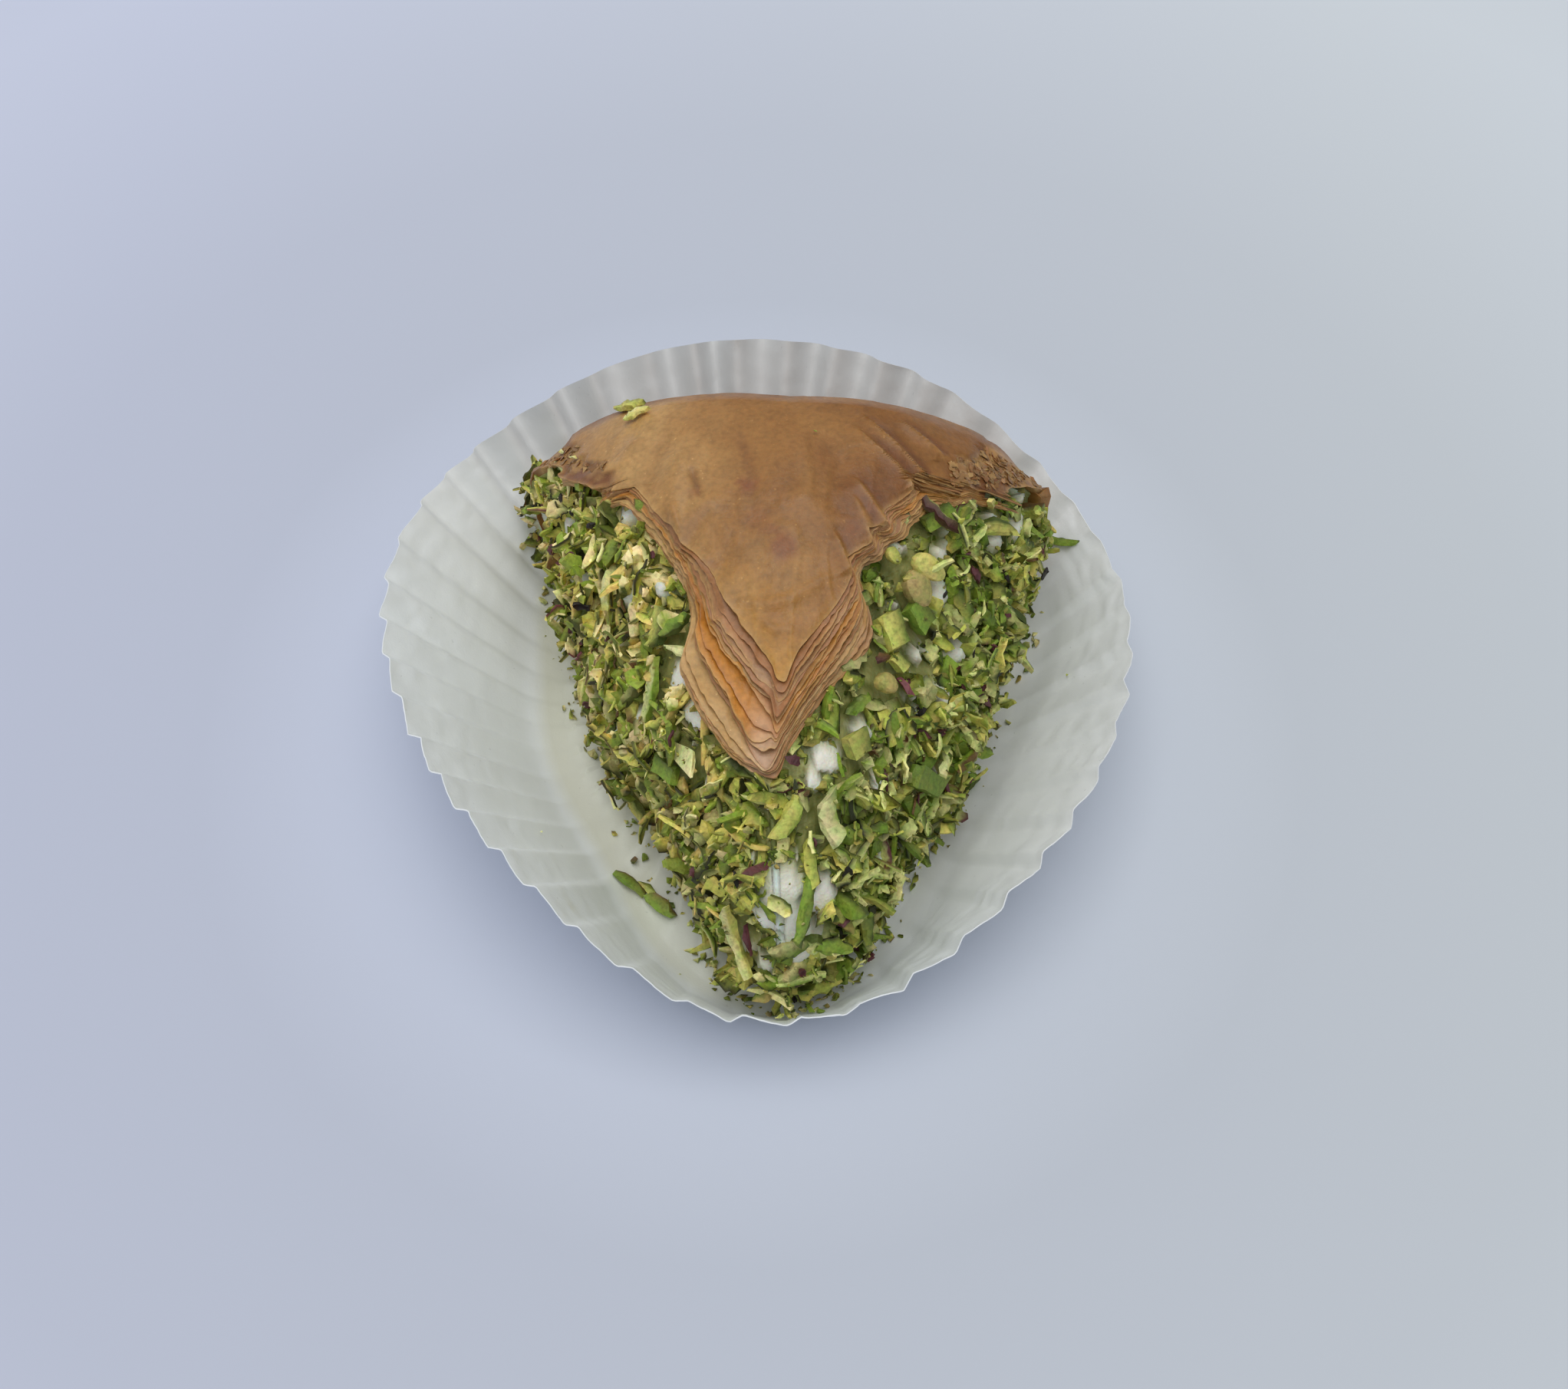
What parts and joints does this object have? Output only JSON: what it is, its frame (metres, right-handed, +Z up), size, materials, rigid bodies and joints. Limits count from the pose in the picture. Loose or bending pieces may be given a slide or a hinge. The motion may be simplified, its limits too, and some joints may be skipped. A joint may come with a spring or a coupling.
{
  "type": "warbat pastry",
  "caption": "Triangular phyllo pastry with a thick cream filling, its two open sides coated in chopped pistachio, in a round fluted paper case.",
  "frame": {"origin": "centre of the paper case's flat bottom, on the surface that it stands on", "axes": "+Z up; +Y to the folded back edge of the triangle, which points its tip to -Y; +X to the right seen from the tip"},
  "size_m": [0.1042, 0.1067, 0.0432],
  "materials": {
    "paper": "thin matt white greaseproof paper",
    "phyllo": "golden brown baked sheets, a little buttery",
    "pistachio": "matt chopped kernels on set cream"
  },
  "bodies": {
    "root": {"paper_case": "paper", "phyllo": "phyllo", "filling": "pistachio"}
  },
  "joints": []
}
